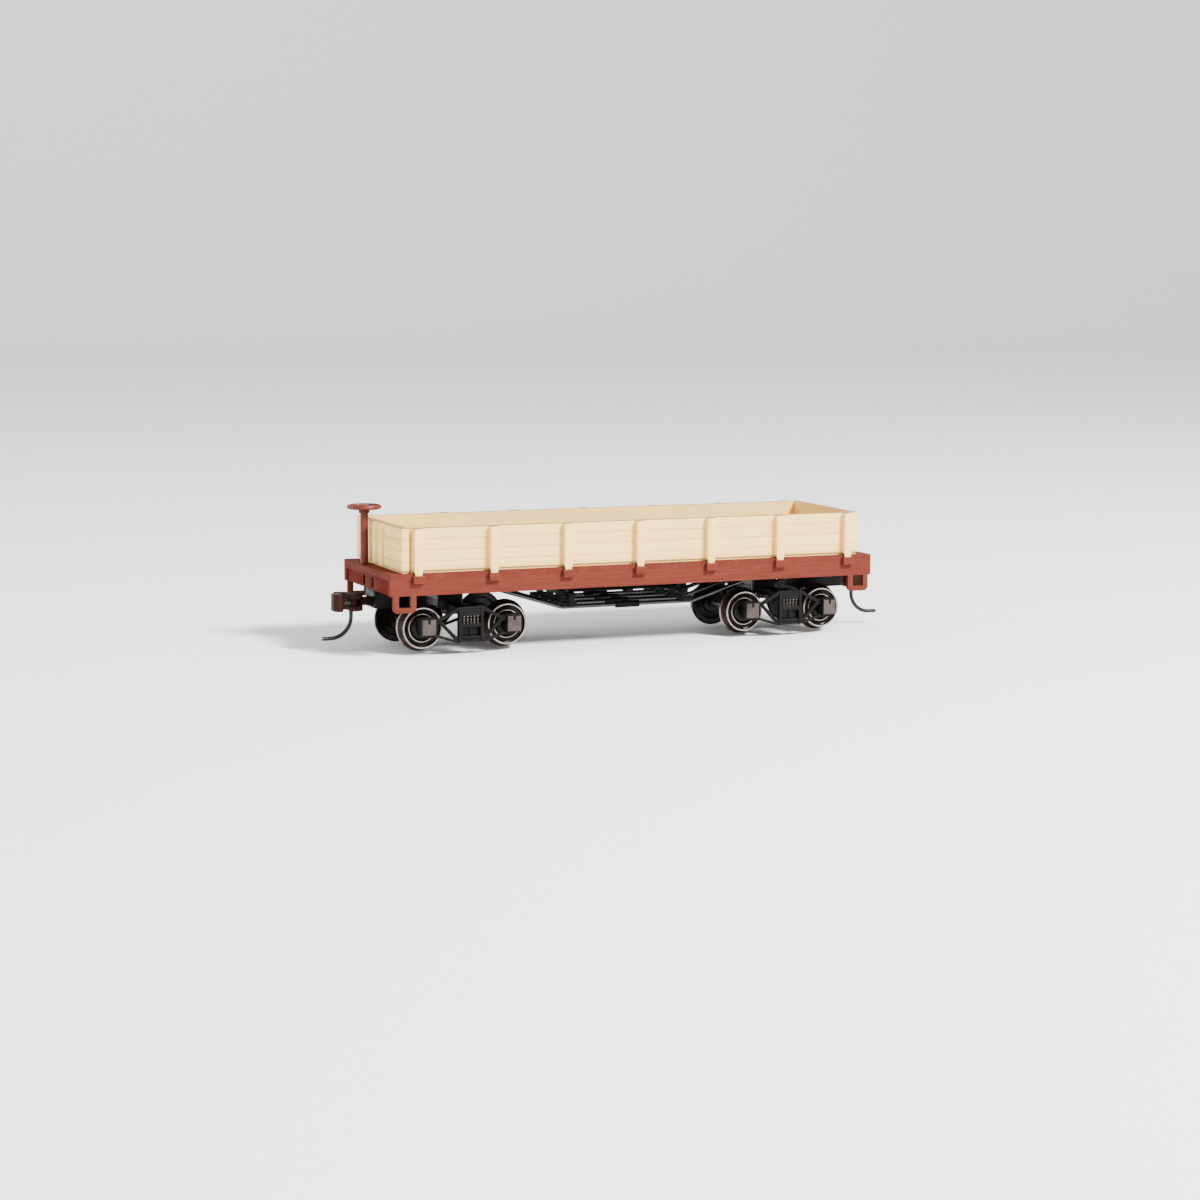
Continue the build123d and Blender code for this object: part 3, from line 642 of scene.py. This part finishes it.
carEnd, carSide = frameHigh.x / mm, 16.5
deck = {"boards": 48, "thick": 1.4, "groove": 0.12, "play": (0, 0.0006, 0), "seed": 11}
sill = {"thick": 1.6, "low": 13.7, "edge": 0.1, "endThick": 2.6, "lip": 0.35, "lipLow": 16.6, "lipEdge": 0.06,
        "coreEdge": 0.05, "join": 0.02, "faceDeep": 0.9, "recessY": 2.95, "recessHalf": 0.7, "recessLow": 14.3,
        "recessDeep": 0.5, "recessFloorHalf": 0.8}
pocket = {"half": 1.4, "out": 17.58, "top": 18.2, "low": 16.45, "wall": 0.5, "slotHalf": 0.86, "root": 0.1,
          "join": 0.02, "cheekIn": 0.1, "cheekEdge": 0.04, "frontEdge": 0.1, "floorIn": 0.1,
          "floorBack": 0.05, "floorThick": 0.5, "floorEdge": 0.08}
step = {"centre": 56.7, "half": 2.7, "legIn": 1.35, "low": 9.95, "bar": 1.15, "cut": 0.7, "thick": 1.0,
        "sunk": 0.1, "edge": 0.1}


def deckBoards():
    pitch = 2 * carEnd / deck["boards"]

    def top(e):
        crosswise = abs(e.verts[0].co.y - e.verts[1].co.y) > 1
        return crosswise and all(abs(v.co.z - deckTop) < onFace for v in e.verts)

    one = block((-pitch / 2, -carSide, deckTop - deck["thick"]), (pitch / 2, carSide, deckTop), deck["groove"],
                2, top)
    boards = row("deck_boards", one, deck["boards"], (-carEnd + pitch / 2, 0, 0), (pitch, 0, 0), deckPaint,
                 deck["play"], deck["seed"])
    finish(addObject("deck_boards", boards), "car_body", deckPaint, ("frame_deck",))


def sideSill(name, side):
    top = deckTop - deck["thick"]
    ys = (carSide - sill["thick"], carSide) if side > 0 else (-carSide, sill["thick"] - carSide)

    def bottom(e):
        return all(abs(v.co.z - sill["low"]) < onFace for v in e.verts)

    shapes = [block((-carEnd, ys[0], sill["low"]), (carEnd, ys[1], top), sill["edge"], 2, bottom)]
    half, inside, low = step["half"], step["half"] - step["legIn"], step["low"]
    hoopTop = sill["low"] + step["sunk"]
    left = [(-half, hoopTop), (-half, low + step["cut"]), (-half + step["cut"], low)]
    hole = [(inside, hoopTop), (inside, low + step["bar"])]
    hoop = left + [(-x, z) for x, z in left[::-1]] + hole + [(-x, z) for x, z in hole[::-1]]
    stepYs = (carSide - step["thick"], carSide) if side > 0 else (-carSide, step["thick"] - carSide)
    for end in (-1, 1):
        middle = end * step["centre"]
        shapes.append(prism([(middle + x, z) for x, z in hoop], stepYs, "y", step["edge"], 2))
    sillMesh = toMesh(name, merge(shapes))

    half, slot, out = pocket["half"], pocket["slotHalf"], pocket["out"]
    low, high, root = pocket["low"], pocket["top"], carSide - pocket["root"]
    face = out - pocket["wall"] + pocket["join"]
    cheek = face + pocket["cheekIn"]
    one = merge([block((-half, root, low), (-slot, cheek, high), pocket["cheekEdge"]),
                 block((slot, root, low), (half, cheek, high), pocket["cheekEdge"]),
                 block((-half, face, low), (half, out, high), pocket["frontEdge"], 3),
                 block((-half + pocket["floorIn"], root, low),
                       (half - pocket["floorIn"], out - pocket["floorBack"], low + pocket["floorThick"]),
                       pocket["floorEdge"])])
    if side < 0:
        moved(one, turn=180)
    pockets = row(name + "_pockets", one, stake["count"], (stakeFirst, 0, 0), (stake["pitch"], 0, 0), sillPaint)
    thing = addObject(name, joinMeshes(name, [sillMesh, pockets]))
    finish(thing, "car_body", sillPaint)


def endSill(name, end):
    top = deckTop - deck["thick"]
    inner, outer = carEnd - sill["endThick"], carEnd
    back, y = outer - sill["lip"], carSide - sill["thick"]
    faceTop, faceBack, edge = sill["lipLow"] + sill["join"], back - sill["faceDeep"], sill["lipEdge"]
    shapes = [block((inner, -y, sill["lipLow"]), (outer, y, top), edge),
              block((inner, -y, sill["low"]), (back - sill["recessDeep"], y, faceTop), sill["coreEdge"])]
    recesses = (-sill["recessY"], sill["recessY"])
    marks = [-y] + [m for c in recesses for m in (c - sill["recessHalf"], c + sill["recessHalf"])] + [y]
    for a, b in zip(marks[::2], marks[1::2]):
        shapes.append(block((faceBack, a, sill["low"]), (back, b, faceTop), edge))
    floorHalf = sill["recessFloorHalf"]
    for c in recesses:
        shapes.append(block((faceBack, c - floorHalf, sill["low"]),
                            (back, c + floorHalf, sill["recessLow"]), edge))
    thing = addObject(name, toMesh(name, moved(merge(shapes), turn=0 if end > 0 else 180)))
    # the end sills take the darker red of painted shade
    finish(thing, "car_body", shadedEndSillPaint)


deckBoards()
sideSill("left_sill", 1)
sideSill("right_sill", -1)
endSill("brake_end_sill", -1)
endSill("plain_end_sill", 1)
print("frame done")


# hand brake

brakeLow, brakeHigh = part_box("brake_wheel")
brakeX, brakeY = (brakeLow.x + brakeHigh.x) / 2 / mm, (brakeLow.y + brakeHigh.y) / 2 / mm
# the wheel's section: rim points as (in from the edge, height), hub points as (radius, height)
handWheel = {"radius": 3.93, "low": brakeLow.z / mm, "steps": 72,
             "rim": [(0.95, 0.02), (0.5, 0.0), (0.18, 0.08), (0, 0.3), (0, 0.62), (0.14, 0.88), (0.4, 1.0),
                     (0.66, 0.9), (0.85, 0.6)],
             "hub": [(2.2, 0.44), (1.35, 0.5), (1.2, 0.85), (1.0, 1.0), (0.0, 1.02), (0.0, -0.02), (1.3, 0.0),
                     (1.9, 0.06)]}
rib = {"count": 5, "firstTurn": math.degrees(0.3), "start": 0.9, "short": 0.7, "half": 0.2, "low": 0.3,
       "high": 0.72, "edge": 0.1}
staffLook = {"radius": 0.9, "low": 15.1, "edge": 0.1, "collar": 1.25, "collarLow": -0.95, "collarEdge": 0.15,
             "collarTop": -0.3, "capIn": 0.2, "capHigh": 0.02, "steps": 36}


def brakeGear():
    outer, z = handWheel["radius"], handWheel["low"]
    section = [(outer - inset, height) for inset, height in handWheel["rim"]] + handWheel["hub"]
    shapes = [moved(lathe(section, handWheel["steps"]), (brakeX, brakeY, z))]
    for i in range(rib["count"]):
        spoke = block((rib["start"], -rib["half"], rib["low"]),
                      (outer - rib["short"], rib["half"], rib["high"]), rib["edge"])
        shapes.append(moved(spoke, (brakeX, brakeY, z), 360 * i / rib["count"] + rib["firstTurn"]))
    thing = addObject("brake_handwheel", toMesh("brake_handwheel", merge(shapes)))
    finish(thing, "brake_handwheel", brakePaint, ("brake_wheel",))

    r, c, low, edge = staffLook["radius"], staffLook["collar"], staffLook["low"], staffLook["edge"]
    collarZ, capZ = z + staffLook["collarLow"], z + staffLook["capHigh"]
    profile = [(0, low), (r - edge, low), (r, low + edge), (r, collarZ - edge), (c - edge, collarZ),
               (c, collarZ + staffLook["collarEdge"]), (c, z + staffLook["collarTop"]),
               (c - staffLook["capIn"], capZ), (0, capZ)]
    staff = moved(lathe(profile, staffLook["steps"]), (brakeX, brakeY, 0))
    thing = addObject("brake_post", toMesh("brake_post", staff))
    finish(thing, "brake_handwheel", brakePaint, ("brake_staff",))


brakeGear()
print("hand brake done")


# underframe

rod = {"radius": 0.49, "rows": (-9.3, -3.1, 3.1, 9.3), "low": 8.6, "gap": 1.4, "bend": 16.4, "bendRadius": 0.8,
       "anchorX": 33.5, "anchorZ": 13.8}
softEdges = {"underframe": 0.08, "needle_beam_a": 0.07, "needle_beam_b": 0.07, "turnbuckles": 0.06,
             "brake_rigging": 0.06, "coupler_box_lid_a": 0.06, "coupler_box_lid_b": 0.06}


def trussRods():
    for i, y in enumerate(rod["rows"], 1):
        halves = []
        for side in (-1, 1):
            path = roundedPath([(side * rod["gap"], y, rod["low"]), (side * rod["bend"], y, rod["low"]),
                                (side * rod["anchorX"], y, rod["anchorZ"])], rod["bendRadius"])
            halves.append(tube("rod", path, rod["radius"]))
        name = f"truss_rod_{i}"
        thing = addObject(name + "_wire", joinMeshes(name, halves))
        finish(thing, "car_body", rodPaint, (name,))


trussRods()
for node, edge in softEdges.items():
    softened(node, "car_body", underPaint, edge)
print("underframe done")


# trucks

wheelLook = {"steps": 96, "inner": 7.25, "width": 2.8, "bore": 1.19, "tread": 4.8, "flange": 5.49}
journal = {"x": 10.15, "half": 1.75, "low": 4.25, "top": 8.1, "back": 11.1, "face": 14.35, "edge": 0.16,
           "capHalf": 1.1, "capBack": 0.6, "capOut": 0.05, "capSunk": 0.3, "capRise": 0.12, "capEdge": 0.1,
           "lidHalf": 1.6, "lidLow": 4.45, "lidTop": 7.85, "lidThick": 0.22, "lidSunk": 0.05, "lidEdge": 0.08,
           "notchHalf": 0.3, "notchDeep": 0.95, "notchTaper": 0.8}
arch = {"back": 12.8, "front": 13.9, "inset": 0.05, "bar": 0.72, "tieBar": 0.56, "column": 2.6,
        "columnHalf": 0.4, "columnOut": 0.15, "columnLow": 2.4, "columnTop": 10.1, "columnEdge": 0.09,
        "top": [(8.8, 7.6), (7.3, 7.6), (2.9, 9.95)], "low": [(8.8, 7.2), (7.3, 7.2), (3.6, 3.4)],
        "tie": [(10.75, 4.0), (7.8, 4.0), (3.6, 2.65)]}
# between the columns, each with its half width, front face, low, top and edge
between = {"springCap": (2.6, 13.95, 8.3, 9.7, 0.1), "springSeat": (2.8, 14.0, 5.8, 6.6, 0.1),
           "plate": (2.6, 13.15, 2.7, 8.35, 0.05), "rib": (0.2, 13.5, 2.7, 5.85, 0.05)}
nest = {"count": 5, "pitch": 0.82, "radius": 0.27, "wire": 0.1, "low": 6.62, "height": 1.66, "turns": 4.5,
        "y": 13.6}
nut = {"radius": 0.42, "height": 0.2, "edge": 0.05, "sunk": 0.02}


def hexNut():
    turns = [math.radians(60 * i) for i in range(6)]
    outline = [(nut["radius"] * math.cos(turn), nut["radius"] * math.sin(turn)) for turn in turns]
    return prism(outline, (0, nut["height"]), "z", nut["edge"], 1)


def mirrored(points):
    return [(-x, z) for x, z in points] + [(x, z) for x, z in reversed(points)]


def sideFrame(name, node, body, centre, side):
    back, front = arch["back"], arch["front"]
    depth = (back + arch["inset"], front - arch["inset"])
    shapes = [ribbon(mirrored(arch[bar]), arch[thick], depth)
              for bar, thick in (("top", "bar"), ("low", "bar"), ("tie", "tieBar"))]
    shapes += [block((-half, back, low), (half, face, top), edge)
               for half, face, low, top, edge in between.values()]
    for sign in (-1, 1):
        x = sign * arch["column"]
        shapes.append(block((x - arch["columnHalf"], back, arch["columnLow"]),
                            (x + arch["columnHalf"], front + arch["columnOut"], arch["columnTop"]),
                            arch["columnEdge"]))
        middle = sign * journal["x"]
        shapes.append(block((middle - journal["half"], journal["back"], journal["low"]),
                            (middle + journal["half"], journal["face"], journal["top"]), journal["edge"], 3))
        shapes.append(block((middle - journal["capHalf"], journal["face"] - journal["capBack"],
                             journal["top"] - journal["capSunk"]),
                            (middle + journal["capHalf"], journal["face"] + journal["capOut"],
                             journal["top"] + journal["capRise"]), journal["capEdge"]))
    parts = [toMesh(name, moved(merge(shapes), (centre, 0, 0), 0 if side > 0 else 180))]

    coilFirst = (centre - (nest["count"] - 1) / 2 * nest["pitch"], side * nest["y"], nest["low"])
    springs = addObject(name + "_springs", bake(name + "_coils", coils, bpy.data.meshes.new("empty"), {
        "Count": nest["count"], "First place": [v * mm for v in coilFirst],
        "Step": [nest["pitch"] * mm, 0.0, 0.0], "Turns": nest["turns"], "Coil radius": nest["radius"] * mm,
        "Wire radius": nest["wire"] * mm, "Height": nest["height"] * mm, "Finish": springSteel}))
    finish(springs, body, springSteel)

    nutY = side * (back + front) / 2
    for z in (arch["columnTop"] - nut["sunk"], arch["columnLow"] - nut["height"] + nut["sunk"]):
        parts.append(row(name + "_nuts", hexNut(), 2, (centre - arch["column"], nutY, z),
                         (2 * arch["column"], 0, 0), truckPaint))
    thing = addObject(name, joinMeshes(name, parts))
    finish(thing, body, truckPaint, (node,))

    half, top, notch = journal["lidHalf"], journal["lidTop"], journal["notchHalf"]
    root = notch * journal["notchTaper"]
    left = [(-root, top - journal["notchDeep"]), (-notch, top), (-half, top), (-half, journal["lidLow"])]
    right = [(-x, z) for x, z in left[::-1]]
    plate = prism(left[3:] + right + left[:3],
                  (journal["face"] - journal["lidSunk"], journal["face"] + journal["lidThick"]), "y",
                  journal["lidEdge"])
    if side < 0:
        moved(plate, turn=180)
    lids = row(name + "_lids", plate, 2, (centre - journal["x"], 0, 0), (2 * journal["x"], 0, 0), lidPaint)
    finish(addObject(name + "_lids", lids), body, lidPaint)


def wheelProfile():
    w, t, f, b = wheelLook["width"], wheelLook["tread"], wheelLook["flange"], wheelLook["bore"]
    # (radius, distance from the inner face, finish of the strip that starts here)
    back = [(b, 0.0, 1), (2.3, 0.0, 1), (2.6, 0.48, 1), (3.8, 0.5, 1), (4.1, 0.04, 1), (5.1, 0.0, 1)]
    flange = [(f - 0.12, 0.16, 0), (f - 0.03, 0.3, 0), (f, 0.45, 0), (f - 0.05, 0.6, 0), (f - 0.2, 0.8, 2)]
    tread = [(t + 0.2, 0.95, 2), (t + 0.05, 1.1, 2), (t, 1.3, 2), (t - 0.07, w - 0.2, 2),
             (t - 0.12, w - 0.05, 0), (t - 0.2, w, 0)]
    recess = [(4.33, w, 1), (4.25, w - 0.06, 1), (4.16, w - 0.55, 1), (4.05, w - 0.62, 1), (3.45, w - 0.65, 1)]
    ridge = [(3.36, w - 0.58, 0), (3.28, w - 0.26, 0), (3.2, w - 0.2, 0), (3.06, w - 0.2, 0)]
    dome = [(2.98, w - 0.28, 1), (2.88, w - 0.8, 1), (2.78, w - 0.82, 1), (2.6, w - 0.57, 1),
            (2.3, w - 0.34, 1), (1.9, w - 0.17, 1), (1.5, w - 0.06, 1), (b, w, 1)]
    return back + flange + tread + recess + ridge + dome


def wheel(name, node, body, centre, side, finishes):
    profile = wheelProfile()
    shape = bmesh.new()
    steps, inner = wheelLook["steps"], wheelLook["inner"]
    rings = []
    for i in range(steps):
        turn = 2 * math.pi * i / steps
        rings.append([shape.verts.new((centre[0] + r * math.cos(turn), side * (inner + y),
                                       centre[1] + r * math.sin(turn))) for r, y, _ in profile])
    for i in range(steps):
        a, b = rings[i], rings[(i + 1) % steps]
        for k in range(len(profile)):
            n = (k + 1) % len(profile)
            shape.faces.new((a[k], b[k], b[n], a[n])).material_index = profile[k][2]
    thing = addObject(name, toMesh(name, shape))
    for finishMaterial in finishes:
        thing.data.materials.append(finishMaterial)
    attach(thing, body)
    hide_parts(node)


bolsterEdge = 0.1
number = 1
for end in ("a", "b"):
    low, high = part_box(f"truck_bolster_{end}")
    centre = (low.x + high.x) / 2 / mm
    sideFrame(f"left_truck_side_{end}", f"left_side_frame_{end}", f"truck_{end}", centre, 1)
    sideFrame(f"right_truck_side_{end}", f"right_side_frame_{end}", f"truck_{end}", centre, -1)
    softened(f"truck_bolster_{end}", f"truck_{end}", truckPaint, bolsterEdge)
    for _ in range(2):
        low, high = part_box(f"axle_{number}")
        middle = ((low.x + high.x) / 2 / mm, (low.z + high.z) / 2 / mm)
        # the third finish, for the tread, is a painted dark reflection
        finishes = (turnedFinish(f"bright_rim_{number}", brightRim, middle),
                    turnedFinish(f"black_web_{number}", blackWeb, middle),
                    turnedFinish(f"tread_painted_reflection_{number}", treadPaintedReflection, middle))
        for side, word in ((1, "left"), (-1, "right")):
            name = f"{word}_wheel_{number}"
            wheel(name + "_turned", name, f"wheelset_{number}", middle, side, finishes)
        number += 1
print("trucks done")


# couplers

trip = {"u": 63.5, "v": -0.9, "top": 10.9, "low": 2.6, "lead": 0.5, "bend": 4.8, "bendSteps": 16, "end": 70.26,
        "radius": 0.46, "edge": 0.1}
couplerEdge = {"head": 0.12, "knuckle": 0.16, "steps": 3}


def tripPin(name, node, body, turn):
    bendZ = trip["low"] + trip["bend"]
    path = [(trip["u"], trip["v"], trip["top"]), (trip["u"], trip["v"], bendZ + trip["lead"])]
    for i in range(trip["bendSteps"] + 1):
        a = math.radians(90 * i / trip["bendSteps"])
        path.append((trip["u"] + trip["bend"] * (1 - math.cos(a)), trip["v"],
                     bendZ - trip["bend"] * math.sin(a)))
    path.append((trip["end"], trip["v"], trip["low"]))
    mesh = tube(name, path, trip["radius"], 8)
    shape = bmesh.new()
    shape.from_mesh(mesh)
    moved(roundEdges(shape, trip["edge"] * mm, 2), turn=turn)
    shape.to_mesh(mesh)
    shape.free()
    finish(addObject(name, mesh), body, tripFinish, (node,))


for end, turn in (("a", 180), ("b", 0)):
    softened(f"coupler_head_{end}", f"coupler_{end}", couplerFinish, couplerEdge["head"],
             couplerEdge["steps"])
    softened(f"knuckle_{end}", f"knuckle_{end}", couplerFinish, couplerEdge["knuckle"],
             couplerEdge["steps"])
    tripPin(f"trip_wire_{end}", f"trip_pin_{end}", f"coupler_{end}", turn)
print("couplers done")


# CAD parts that keep their own mesh

keptFinishes = {
    screwSteel: ["underframe_screws", "lid_screw_a", "lid_screw_b", "kingpin_screw_a", "kingpin_screw_b"],
    couplerFinish: ["knuckle_pin_a", "knuckle_pin_b"],
    springSteel: ["knuckle_spring_a", "knuckle_spring_b"],
    weightSteel: ["ballast_weight", "axle_1", "axle_2", "axle_3", "axle_4"],
    bronze: ["centring_spring_a", "centring_spring_b"],
    underPaint: ["insulating_bushes_1", "insulating_bushes_2", "insulating_bushes_3", "insulating_bushes_4"],
}
for material, names in keptFinishes.items():
    for name in names:
        mesh = nodes[name].data
        mesh.materials.clear()
        mesh.materials.append(material)


# floor, light and camera

# lengths of the studio are in metres
studio = {"floor": (0.93, 0.93, 0.93), "floorGloss": 0.1, "floorZ": -0.0005, "floorHalf": 3.0,
          "curveStart": 1.6, "curveRadius": 0.6, "curveStep": 6, "wallHeight": 2.0, "world": 1.1}
lamps = {"key": {"place": (0.4, -0.75, 0.75), "target": (0, 0, 0.01), "size": 0.22, "power": 40.0},
         "end_light": {"place": (-0.85, 0.35, 0.25), "target": (0, 0.01, 0.015), "size": 0.1, "power": 3.2}}


def cyclorama():
    shape = bmesh.new()
    half, low = studio["floorHalf"], studio["floorZ"]
    start, radius = studio["curveStart"], studio["curveRadius"]
    turns = [math.radians(a) for a in range(0, 91, studio["curveStep"])]
    bend = [(start + radius * math.sin(turn), low + radius * (1 - math.cos(turn))) for turn in turns]
    outline = [(-half, low)] + bend + [(start + radius, studio["wallHeight"])]
    lines = [[shape.verts.new((x, y, z)) for x in (-half, half)] for y, z in outline]
    for a, b in zip(lines, lines[1:]):
        shape.faces.new((a[0], a[1], b[1], b[0]))
    floor = addObject("studio_floor", toMesh("studio_floor", shape, 1.0))
    material, tree, surface, place = shader("studio_white")
    cloud = noise(tree, place, *clouds["studio"])
    tree.links.new(span(tree, cloud, *bands["studio"]), surface.inputs["Roughness"])
    surface.inputs["Base Color"].default_value = (*studio["floor"], 1)
    surface.inputs["Specular IOR Level"].default_value = studio["floorGloss"]
    floor.data.materials.append(material)


def areaLight(name, lamp):
    data = bpy.data.lights.new(name, "AREA")
    data.shape = "RECTANGLE"
    data.size = data.size_y = lamp["size"]
    data.energy = lamp["power"]
    light = bpy.data.objects.new(name, data)
    light.location = lamp["place"]
    light.rotation_euler = (Vector(lamp["target"]) - light.location).to_track_quat("-Z", "Y").to_euler()
    bpy.context.scene.collection.objects.link(light)


cyclorama()
world = bpy.data.worlds.new("studio")
world.use_nodes = True
background = world.node_tree.nodes["Background"]
background.inputs["Color"].default_value = (1, 1, 1, 1)
background.inputs["Strength"].default_value = studio["world"]
bpy.context.scene.world = world
for name, lamp in lamps.items():
    areaLight(name, lamp)

# the camera's place and target are in millimetres
view = {"place": (-246.37, -560.27, 89.5), "target": (-2.76, 0.0, 8.42), "lens": 79.017, "roll": 0.42,
        "sensor": 36, "near": 0.01}
cameraData = bpy.data.cameras.new("camera")
cameraData.lens = view["lens"]
cameraData.sensor_width = view["sensor"]
cameraData.clip_start = view["near"]
camera = bpy.data.objects.new("camera", cameraData)
bpy.context.scene.collection.objects.link(camera)
direction = Vector(view["target"]) - Vector(view["place"])
turn = direction.to_track_quat("-Z", "Y").to_matrix() @ Matrix.Rotation(math.radians(view["roll"]), 3, "Z")
camera.location = Vector(view["place"]) * mm
camera.rotation_euler = turn.to_euler()
bpy.context.scene.camera = camera
print("stage done")
